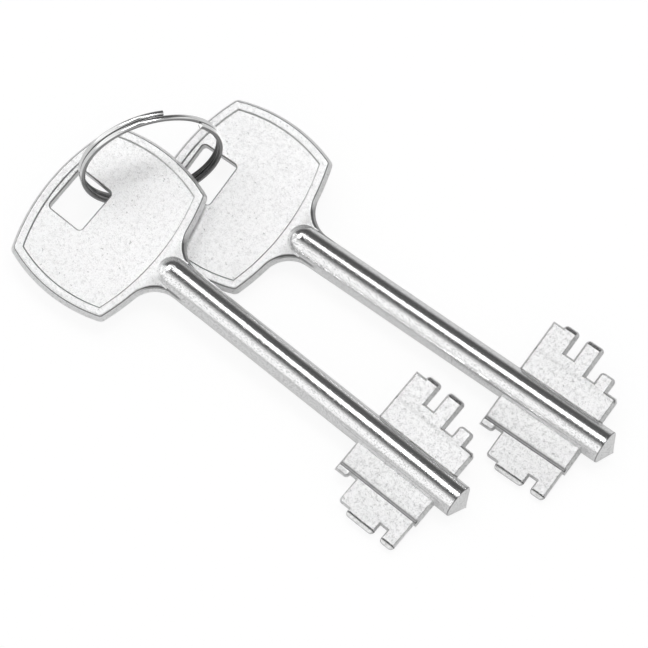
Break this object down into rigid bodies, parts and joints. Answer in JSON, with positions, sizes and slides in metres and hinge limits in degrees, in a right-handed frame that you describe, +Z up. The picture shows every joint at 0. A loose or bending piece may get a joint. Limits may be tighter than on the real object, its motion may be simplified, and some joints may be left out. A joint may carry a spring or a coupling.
{
  "type": "double-bitted safe keys on a split ring",
  "caption": "Double-bitted safe lock keys with barrel-shaped bows, held together on a small split ring, lying as dropped on a table.",
  "frame": {"origin": "on the table, under the middle of the whole pair with its ring", "axes": "+X runs to the right of the picture, towards the keys' tips, +Y away from the camera, +Z up from the table"},
  "size_m": [0.1018, 0.0802, 0.0246],
  "materials": {
    "front_key": "nickel-plated zinc casting, grainy on the flat faces",
    "back_key": "nickel-plated zinc casting, grainy on the flat faces",
    "split_ring": "polished spring steel"
  },
  "bodies": {
    "split_ring": {"split_ring": "split_ring"},
    "front_key": {"front_key": "front_key"},
    "back_key": {"back_key": "back_key"}
  },
  "joints": [
    {"name": "front_key_fan", "type": "hinge", "parent": "split_ring", "child": "front_key", "pos_m": [-0.03699, 0.02273, 0.00646], "axis": [0, 0, 1], "range_deg": [-150, 0]},
    {"name": "back_key_fan", "type": "hinge", "parent": "split_ring", "child": "back_key", "pos_m": [-0.01853, 0.02631, 0.00441], "axis": [0, 0, 1], "range_deg": [0, 60]}
  ]
}
